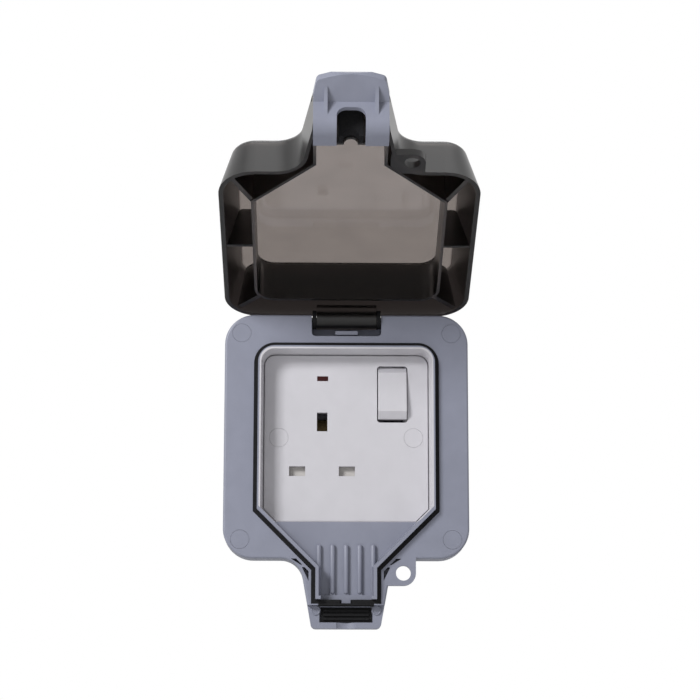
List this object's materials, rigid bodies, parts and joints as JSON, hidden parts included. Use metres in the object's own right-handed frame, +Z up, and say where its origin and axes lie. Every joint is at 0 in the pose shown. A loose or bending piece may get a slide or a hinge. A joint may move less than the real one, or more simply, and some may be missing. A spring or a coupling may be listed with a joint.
{
  "type": "outdoor weatherproof socket",
  "caption": "Wall-mounted switched power socket with a hinged see-through rain cover, latch, cable neck and padlock eye.",
  "frame": {"origin": "centre of the square back face, on the wall", "axes": "+X to the right seen from in front, +Z up, +Y into the wall, the front faces -Y"},
  "size_m": [0.1088, 0.1743, 0.2114],
  "materials": {
    "grey_plastic": "fine satin blue-grey moulded plastic",
    "smoked_plastic": "smoked see-through moulded plastic, glossy",
    "white_plastic": "smooth white moulded plastic",
    "rubber": "black soft rubber",
    "steel": "plated steel",
    "dark_steel": "blackened steel",
    "brass": "bright brass",
    "red_lens": "dark red clear plastic",
    "lamp_glass": "small glass lamp",
    "shutter_plastic": "smooth pale plastic"
  },
  "bodies": {
    "base": {"front_frame": "grey_plastic", "back_box": "grey_plastic", "conduit_plug": "grey_plastic", "hinge_pin": "dark_steel", "lid_seal": "rubber", "cable_seal": "rubber", "frame_gasket": "rubber", "frame_screws": "steel", "frame_screw_caps": "grey_plastic", "socket_plate": "white_plastic", "socket_housing": "white_plastic", "module_screws": "steel", "module_screw_caps": "white_plastic", "switch_cradle": "brass", "switch_contact": "brass", "live_contact": "brass", "live_terminal": "brass", "neutral_contact": "brass", "neutral_terminal": "brass", "earth_contact": "brass", "earth_terminal": "brass", "terminal_screws": "steel", "shutter_spring": "steel", "neon_lens": "red_lens", "neon_lamp": "lamp_glass"},
    "lid": {"lid_cover": "smoked_plastic", "latch_pin": "dark_steel", "lid_cable_seal": "rubber"},
    "latch_body": {"latch": "grey_plastic"},
    "rocker_body": {"rocker": "white_plastic"},
    "shutter_body": {"shutter": "shutter_plastic"},
    "blade_body": {"switch_blade": "brass"}
  },
  "joints": [
    {"name": "lid_hinge", "type": "hinge", "parent": "base", "child": "lid", "pos_m": [0, -0.0412, 0.0529], "axis": [1, 0, 0], "range_deg": [0, 110.9]},
    {"name": "latch_hinge", "type": "hinge", "parent": "lid", "child": "latch_body", "pos_m": [0, -0.15986, 0.11919], "axis": [-1, 0, 0], "range_deg": [0, 42]},
    {"name": "rocker_pivot", "type": "hinge", "parent": "base", "child": "rocker_body", "pos_m": [0.0207, -0.032, 0.0198], "axis": [1, 0, 0], "range_deg": [0, 14]},
    {"name": "blade_pivot", "type": "hinge", "parent": "base", "child": "blade_body", "pos_m": [0.0207, -0.0201, 0.0198], "axis": [1, 0, 0], "range_deg": [-16, 0]},
    {"name": "shutter_slide", "type": "slide", "parent": "base", "child": "shutter_body", "axis": [0, 0, -1], "range_m": [0, 0.0056], "stiffness_N_per_m": 80, "springref_m": -0.002, "deforming": ["shutter_spring"]}
  ],
  "couplings": [
    {"joint": "blade_pivot", "follows": "rocker_pivot", "ratio": -1.1429}
  ]
}
